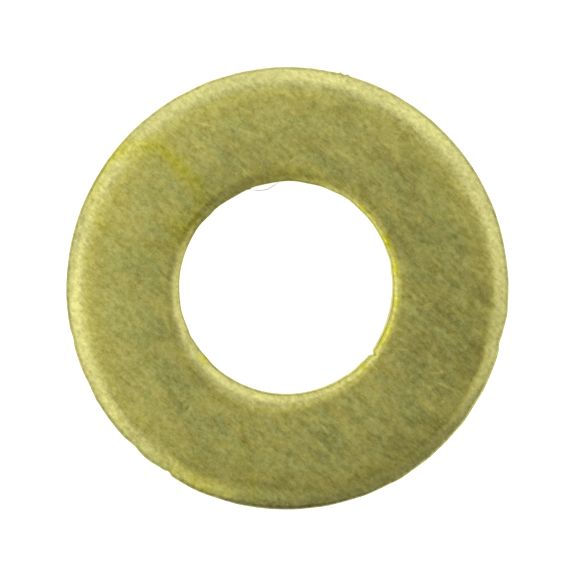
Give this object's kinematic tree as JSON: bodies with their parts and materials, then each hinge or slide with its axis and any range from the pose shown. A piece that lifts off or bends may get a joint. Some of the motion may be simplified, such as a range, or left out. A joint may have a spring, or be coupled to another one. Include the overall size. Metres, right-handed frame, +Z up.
{
  "type": "flat washer",
  "caption": "Flat ring with a round central bore, stamped from brass strip; goes under a screw head or nut to spread its load on the face below.",
  "frame": {"origin": "on the bore's axis, in the plane of the bottom bearing face", "axes": "+Z up the bore, from the bottom bearing face to the face with the rolled-over edges; the ring is round about Z"},
  "size_m": [0.009, 0.009, 0.0008],
  "materials": {
    "brass": "dull tumbled brass, brighter on the rolled edges"
  },
  "bodies": {
    "root": {"flat_washer": "brass"}
  },
  "joints": []
}
